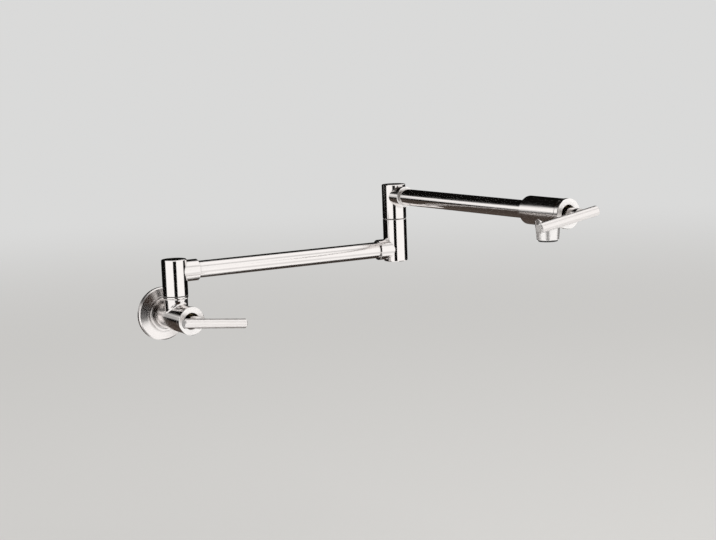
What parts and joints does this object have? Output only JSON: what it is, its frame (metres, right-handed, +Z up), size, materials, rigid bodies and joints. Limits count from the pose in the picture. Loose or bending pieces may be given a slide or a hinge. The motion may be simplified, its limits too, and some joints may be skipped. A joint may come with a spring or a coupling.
{
  "type": "wall mounted pot filler",
  "caption": "Wall mounted pot filler tap with a double-jointed swinging arm, a lever valve at the wall and another at the spout, in brushed nickel.",
  "frame": {"origin": "centre of the flange's back face, where the supply nipple passes through the wall's surface", "axes": "+X along the wall to the right seen from the room, +Y into the wall, +Z up"},
  "size_m": [0.3288, 0.4185, 0.1585],
  "materials": {
    "nickel": "warm brushed nickel plating with a fine satin grain",
    "brass": "plain machined brass",
    "steel": "bright stainless steel",
    "rubber": "matt black rubber",
    "ceramic": "polished white alumina ceramic",
    "glide": "graphite grey low-friction plastic",
    "plastic": "black moulded plastic"
  },
  "bodies": {
    "wall_valve": {"inlet_nipple": "nickel", "inlet_supply_washer": "rubber", "wall_flange": "nickel", "flange_o_ring": "rubber", "flange_lock_ring": "nickel", "inlet_valve_body": "nickel", "inlet_cartridge_seal": "rubber", "inlet_fixed_disc": "ceramic", "inlet_cartridge_body": "brass", "inlet_gland_nut": "brass", "inlet_bonnet_ring": "nickel", "column_spigot": "brass", "column_spigot_o_rings": "rubber", "column_glide_washer": "glide", "column_snap_ring": "steel"},
    "inlet_handle": {"inlet_turning_disc": "ceramic", "inlet_stem": "brass", "inlet_stem_o_ring": "rubber", "inlet_handle_hub": "nickel", "inlet_hub_set_screw": "steel", "inlet_lever_stud": "steel", "inlet_lever_rod": "nickel"},
    "lower_arm": {"lower_swivel_column": "nickel", "lower_column_plug": "nickel", "lower_arm_inner_collar": "nickel", "lower_arm_tube": "nickel", "lower_arm_outer_collar": "nickel", "elbow_socket": "nickel", "elbow_bottom_plug": "nickel", "elbow_spigot": "brass", "elbow_spigot_o_rings": "rubber", "elbow_glide_washer": "glide", "elbow_snap_ring": "steel"},
    "upper_arm": {"upper_swivel_column": "nickel", "upper_column_plug": "nickel", "upper_arm_collar": "nickel", "upper_arm_tube": "nickel", "outlet_valve_body": "nickel", "outlet_cartridge_seal": "rubber", "outlet_fixed_disc": "ceramic", "outlet_cartridge_body": "brass", "outlet_gland_nut": "brass", "outlet_bonnet_ring": "nickel", "spout_nozzle": "nickel", "aerator_washer": "rubber", "aerator_screen": "steel", "aerator_insert": "plastic", "aerator_housing": "plastic"},
    "outlet_handle": {"outlet_turning_disc": "ceramic", "outlet_stem": "brass", "outlet_stem_o_ring": "rubber", "outlet_handle_hub": "nickel", "outlet_hub_set_screw": "steel", "outlet_lever_stud": "steel", "outlet_lever_rod": "nickel"}
  },
  "joints": [
    {"name": "column_swivel", "type": "hinge", "parent": "wall_valve", "child": "lower_arm", "pos_m": [0, -0.0375, 0.0245], "axis": [0, 0, -1], "range_deg": [-4.5, 175.5]},
    {"name": "elbow_swivel", "type": "hinge", "parent": "lower_arm", "child": "upper_arm", "pos_m": [0.28113, -0.05962, 0.0868], "axis": [0, 0, 1], "continuous": true},
    {"name": "inlet_handle_turn", "type": "hinge", "parent": "wall_valve", "child": "inlet_handle", "pos_m": [0, -0.074, 0], "axis": [0, 1, 0], "range_deg": [0, 90]},
    {"name": "outlet_handle_turn", "type": "hinge", "parent": "upper_arm", "child": "outlet_handle", "pos_m": [0.27867, -0.34162, 0.113], "axis": [0.0087, 1, 0], "range_deg": [0, 90]}
  ]
}
